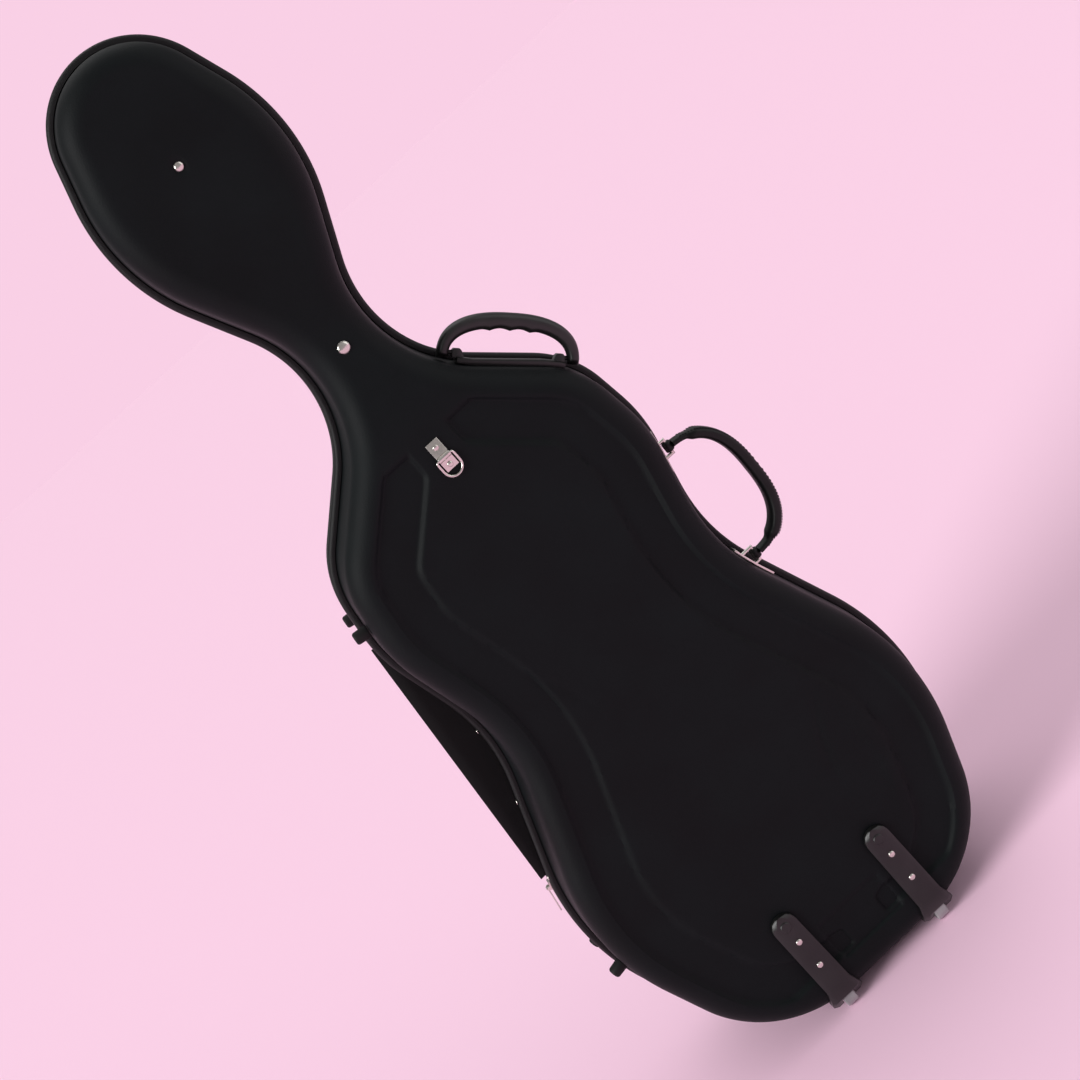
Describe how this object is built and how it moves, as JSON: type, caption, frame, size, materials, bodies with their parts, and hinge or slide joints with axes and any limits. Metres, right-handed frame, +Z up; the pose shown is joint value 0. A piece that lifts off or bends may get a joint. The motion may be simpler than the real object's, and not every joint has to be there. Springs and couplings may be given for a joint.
{
  "type": "cello case",
  "caption": "Upright semi-hard cello case in two moulded, zipped shells, with grip, carry handle, wheels and feet.",
  "frame": {"origin": "on the floor under the middle of the case's box, where its wheels and base feet stand", "axes": "+Z up towards the head, -Y out of the back face with the wheels, +X towards the side with the handles"},
  "size_m": [0.5144, 0.2699, 1.353],
  "materials": {
    "case_fabric": "matte grained cover",
    "lining_plush": "short plush",
    "rim_binding": "piped edge binding",
    "webbing": "woven webbing",
    "black_plastic": "satin",
    "black_rubber": "matte",
    "nickel": "bright nickel plate",
    "wheel_grey": "soft satin wheel",
    "handle_leatherette": "stitched padded sleeve",
    "foam_pad": "plush covered foam"
  },
  "bodies": {
    "back": {"back_hinge_web": "webbing", "back_lining": "lining_plush", "back_shell": "case_fabric", "back_zip_rim": "rim_binding", "base_pad": "foam_pad", "bracket_rivet_left_1": "nickel", "bracket_rivet_left_2": "nickel", "bracket_rivet_right_1": "nickel", "bracket_rivet_right_2": "nickel", "carry_staple_high": "nickel", "carry_staple_low": "nickel", "d_ring_plate": "nickel", "d_ring_rivet_1": "nickel", "d_ring_rivet_2": "nickel", "grip_base": "black_plastic", "head_rivet": "nickel", "neck_cradle": "foam_pad", "neck_rivet": "nickel", "neck_strap": "webbing", "shoulder_pad_left": "foam_pad", "shoulder_pad_right": "foam_pad", "side_foot_back_high": "black_rubber", "side_foot_back_low": "black_rubber", "web_rivet_1": "nickel", "web_rivet_2": "nickel", "web_rivet_3": "nickel", "wheel_axle_left": "nickel", "wheel_axle_right": "nickel", "wheel_bracket_left": "black_plastic", "wheel_bracket_right": "black_plastic", "zip_slider": "nickel"},
    "lid": {"base_foot_left": "black_rubber", "base_foot_right": "black_rubber", "front_hinge_web": "webbing", "front_lining": "lining_plush", "front_shell": "case_fabric", "front_zip_rim": "rim_binding", "side_foot_front_high": "black_rubber", "side_foot_front_low": "black_rubber"},
    "carry_handle": {"carry_handle": "handle_leatherette"},
    "d_ring": {"d_ring": "nickel"},
    "grip_handle": {"grip_handle": "black_plastic"},
    "wheel_left": {"wheel_left": "wheel_grey"},
    "wheel_right": {"wheel_right": "wheel_grey"},
    "zip_pull": {"zip_pull": "nickel"}
  },
  "joints": [
    {"name": "lid_hinge", "type": "hinge", "parent": "back", "child": "lid", "pos_m": [-0.24885, -0.03385, 0.29424], "axis": [0.1215, 0, 0.9926], "range_deg": [0, 100]},
    {"name": "wheel_left_spin", "type": "hinge", "parent": "back", "child": "wheel_left", "pos_m": [-0.073, -0.10685, 0.018], "axis": [1, 0, 0], "continuous": true},
    {"name": "wheel_right_spin", "type": "hinge", "parent": "back", "child": "wheel_right", "pos_m": [0.073, -0.10685, 0.018], "axis": [1, 0, 0], "continuous": true},
    {"name": "grip_swing", "type": "hinge", "parent": "back", "child": "grip_handle", "pos_m": [0.12707, -0.07385, 0.83304], "axis": [0.7049, 0, -0.7093], "range_deg": [-30, 50]},
    {"name": "carry_swing", "type": "hinge", "parent": "back", "child": "carry_handle", "pos_m": [0.19208, -0.06885, 0.55468], "axis": [0.0259, 0, 0.9997], "range_deg": [-60, 30]},
    {"name": "d_ring_swing", "type": "hinge", "parent": "back", "child": "d_ring", "pos_m": [0, -0.1284, 0.809], "axis": [-1, 0, 0], "range_deg": [0, 170]},
    {"name": "zip_pull_swing", "type": "hinge", "parent": "back", "child": "zip_pull", "pos_m": [-0.24311, -0.03705, 0.33678], "axis": [0, 1, 0], "range_deg": [0, 150]}
  ]
}
